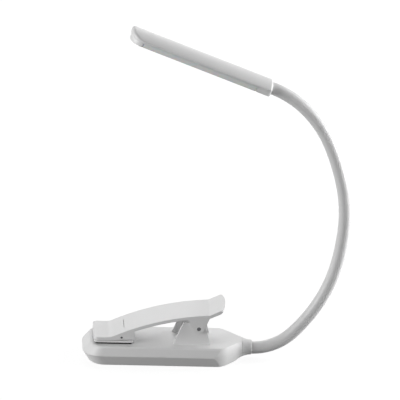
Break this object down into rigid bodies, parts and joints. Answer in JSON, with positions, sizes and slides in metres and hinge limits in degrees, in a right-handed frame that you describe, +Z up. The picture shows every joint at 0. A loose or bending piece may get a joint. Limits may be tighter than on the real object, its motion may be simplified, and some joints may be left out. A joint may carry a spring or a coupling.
{
  "type": "clip-on book light",
  "caption": "Clip-on book light: flat battery housing with a sprung clip lever, a bendable gooseneck that curves over the clip, and a slim bar head with an opal diffuser.",
  "frame": {"origin": "centre of the housing's flat underside, between its left end and the start of its shoulder", "axes": "+Z up, +X along the housing toward the gooseneck, -Y toward the near side of the picture"},
  "size_m": [0.1323, 0.031, 0.1766],
  "materials": {
    "white_plastic": "moulded, fine satin",
    "soft_sleeve": "smooth satin, slightly soft",
    "grip_rubber": "ribbed, matt",
    "pin_steel": "plain",
    "spring_wire": "drawn wire",
    "core_wire": "annealed wire",
    "crimp_metal": "plain",
    "opal_plastic": "opal, translucent, satin",
    "circuit_board": "solder mask",
    "led_lens": "clear over yellow phosphor",
    "cell_pouch": "laminated foil",
    "socket_shell": "stamped shell",
    "switch_body": "moulded"
  },
  "bodies": {
    "base": {"base_upper_shell": "white_plastic", "base_lower_shell": "white_plastic", "shell_screws": "pin_steel", "base_jaw_pad": "grip_rubber", "battery_cell": "cell_pouch", "main_board": "circuit_board", "key_switch": "switch_body", "charge_socket": "socket_shell", "pivot_pin": "pin_steel", "clip_spring": "spring_wire", "neck_collar": "white_plastic", "neck_anchor": "crimp_metal", "neck_sleeve_1": "soft_sleeve", "neck_core_1": "core_wire"},
    "power_button": {"power_button": "white_plastic"},
    "clip_lever": {"clip_lever": "white_plastic", "foot_pin": "pin_steel"},
    "jaw_foot": {"jaw_foot": "white_plastic", "foot_pad": "grip_rubber"},
    "neck_2": {"neck_sleeve_2": "soft_sleeve", "neck_core_2": "core_wire"},
    "neck_3": {"neck_sleeve_3": "soft_sleeve", "neck_core_3": "core_wire"},
    "neck_4": {"neck_sleeve_4": "soft_sleeve", "neck_core_4": "core_wire"},
    "neck_5": {"neck_sleeve_5": "soft_sleeve", "neck_core_5": "core_wire"},
    "neck_6": {"neck_sleeve_6": "soft_sleeve", "neck_core_6": "core_wire"},
    "neck_7": {"neck_sleeve_7": "soft_sleeve", "neck_core_7": "core_wire"},
    "head": {"neck_sleeve_8": "soft_sleeve", "neck_core_8": "core_wire", "head_shell": "white_plastic", "diffuser": "opal_plastic", "led_board": "circuit_board", "leds": "led_lens", "head_screws": "pin_steel", "head_ferrule": "crimp_metal"}
  },
  "joints": [
    {"name": "lever_pivot", "type": "hinge", "parent": "base", "child": "clip_lever", "pos_m": [0.0211, 0, 0.0192], "axis": [0, 1, 0], "range_deg": [0, 26], "stiffness_Nm_per_rad": 0.15, "springref_deg": -28.65, "deforming": ["clip_spring"]},
    {"name": "foot_swivel", "type": "hinge", "parent": "clip_lever", "child": "jaw_foot", "pos_m": [-0.0176, 0, 0.01375], "axis": [0, 1, 0], "range_deg": [-8, 0]},
    {"name": "power_button_press", "type": "slide", "parent": "base", "child": "power_button", "axis": [0, -1, 0], "range_m": [0, 0.0005], "stiffness_N_per_m": 300, "springref_m": -0.001},
    {"name": "neck_bend_1", "type": "hinge", "parent": "base", "child": "neck_2", "pos_m": [0.06848, 0, 0.01382], "axis": [0, 1, 0], "range_deg": [-18, 18]},
    {"name": "neck_swing_2", "type": "hinge", "parent": "neck_2", "child": "neck_3", "pos_m": [0.08154, 0, 0.03141], "axis": [-0.8878, 0, 0.4602], "range_deg": [-18, 18]},
    {"name": "neck_bend_3", "type": "hinge", "parent": "neck_3", "child": "neck_4", "pos_m": [0.08937, 0, 0.05192], "axis": [0, 1, 0], "range_deg": [-18, 18]},
    {"name": "neck_swing_4", "type": "hinge", "parent": "neck_4", "child": "neck_5", "pos_m": [0.09224, 0, 0.07368], "axis": [-0.9999, 0, 0.0105], "range_deg": [-18, 18]},
    {"name": "neck_bend_5", "type": "hinge", "parent": "neck_5", "child": "neck_6", "pos_m": [0.09002, 0, 0.09552], "axis": [0, 1, 0], "range_deg": [-18, 18]},
    {"name": "neck_swing_6", "type": "hinge", "parent": "neck_6", "child": "neck_7", "pos_m": [0.08295, 0, 0.1163], "axis": [-0.9033, 0, -0.4289], "range_deg": [-18, 18]},
    {"name": "neck_bend_7", "type": "hinge", "parent": "neck_7", "child": "head", "pos_m": [0.07058, 0, 0.13439], "axis": [0, 1, 0], "range_deg": [-18, 18]}
  ],
  "couplings": [
    {"joint": "foot_swivel", "follows": "lever_pivot", "ratio": -0.3}
  ]
}
